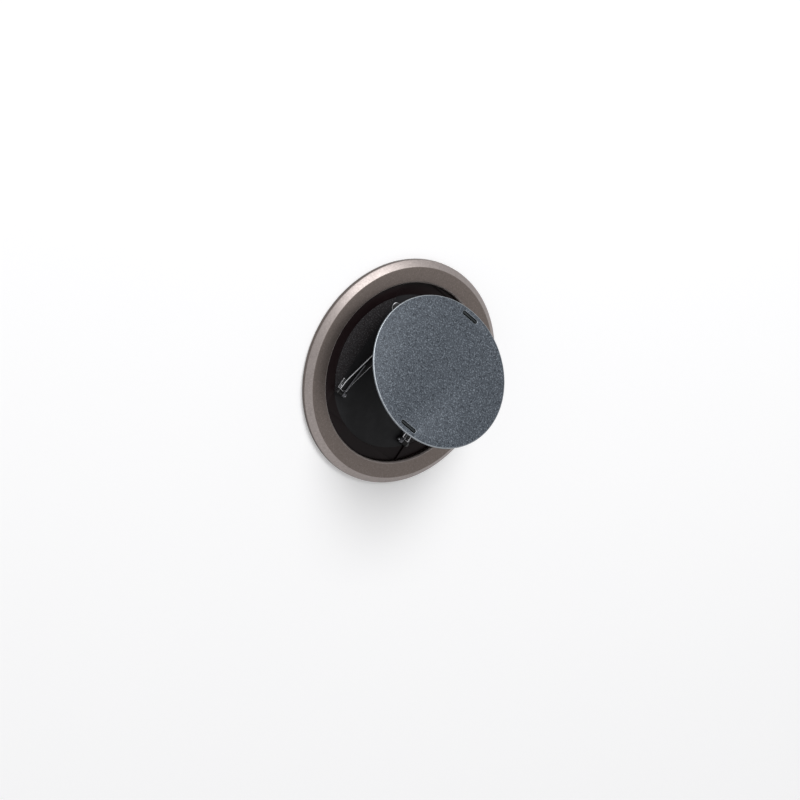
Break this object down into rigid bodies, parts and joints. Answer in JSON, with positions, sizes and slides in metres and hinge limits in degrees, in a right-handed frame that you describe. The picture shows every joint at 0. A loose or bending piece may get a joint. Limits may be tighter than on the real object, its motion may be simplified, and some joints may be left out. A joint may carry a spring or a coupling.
{
  "type": "phone grip",
  "caption": "Magnetic phone grip: a flat ring base with a round cap that opens on a folding crossed-arm linkage and tilts to follow the fingers.",
  "frame": {"origin": "centre of the flat face that lies on the phone", "axes": "+Z out of the phone towards the cap, +Y along the folding arms from the base hinge"},
  "size_m": [0.056, 0.056, 0.0229],
  "materials": {
    "ring_metal": "satin anodised champagne",
    "grip_rubber": "matte soft",
    "base_plastic": "smooth matte",
    "magnet": "nickel plated",
    "steel": "stamped, lightly brushed",
    "seat_texture": "fine speckled texture",
    "pin_steel": "ground",
    "spring_steel": "drawn wire",
    "arm_black": "black coated with bright cut edges",
    "carrier_black": "fine matte",
    "cap_metal": "slate blue-grey, fine bead-blasted speckle"
  },
  "bodies": {
    "base": {"base_ring": "ring_metal", "grip_pad": "grip_rubber", "floor_plate": "base_plastic", "magnet_array": "magnet", "shunt_ring": "steel", "seat_left": "seat_texture", "seat_right": "seat_texture", "guide_plate": "steel", "guide_rivets": "pin_steel", "bracket_left": "steel", "bracket_right": "steel", "base_pin_left": "pin_steel", "base_pin_right": "pin_steel"},
    "outer_arm": {"outer_arm": "arm_black", "outer_arm_pin": "pin_steel", "spring_left": "spring_steel", "spring_right": "spring_steel"},
    "spine": {"spine": "arm_black", "rocking_rod": "pin_steel"},
    "inner_arm": {"inner_arm": "arm_black", "inner_arm_pin": "pin_steel", "foot_pin_left": "pin_steel", "foot_pin_right": "pin_steel"},
    "cap": {"carrier": "carrier_black", "cap": "cap_metal"}
  },
  "joints": [
    {"name": "arm_fold", "type": "hinge", "parent": "base", "child": "outer_arm", "pos_m": [0, -0.0132, 0.0016], "axis": [1, 0, 0], "range_deg": [-6.35, 0]},
    {"name": "spine_pitch", "type": "hinge", "parent": "outer_arm", "child": "spine", "pos_m": [0, 0.01741, 0.00501], "axis": [1, 0, 0], "range_deg": [0, 28.66]},
    {"name": "inner_arm_fold", "type": "hinge", "parent": "spine", "child": "inner_arm", "pos_m": [0, -0.0122, 0.01715], "axis": [1, 0, 0], "range_deg": [0, 11.94]},
    {"name": "cap_rock", "type": "hinge", "parent": "spine", "child": "cap", "pos_m": [0, 0.00327, 0.0127], "axis": [0, 0.9252, -0.3795], "range_deg": [0, 15.61]}
  ],
  "couplings": [
    {"joint": "spine_pitch", "follows": "arm_fold", "ratio": -4.5118},
    {"joint": "inner_arm_fold", "follows": "arm_fold", "ratio": -1.8779},
    {"joint": "cap_rock", "follows": "arm_fold", "ratio": -2.4567}
  ]
}
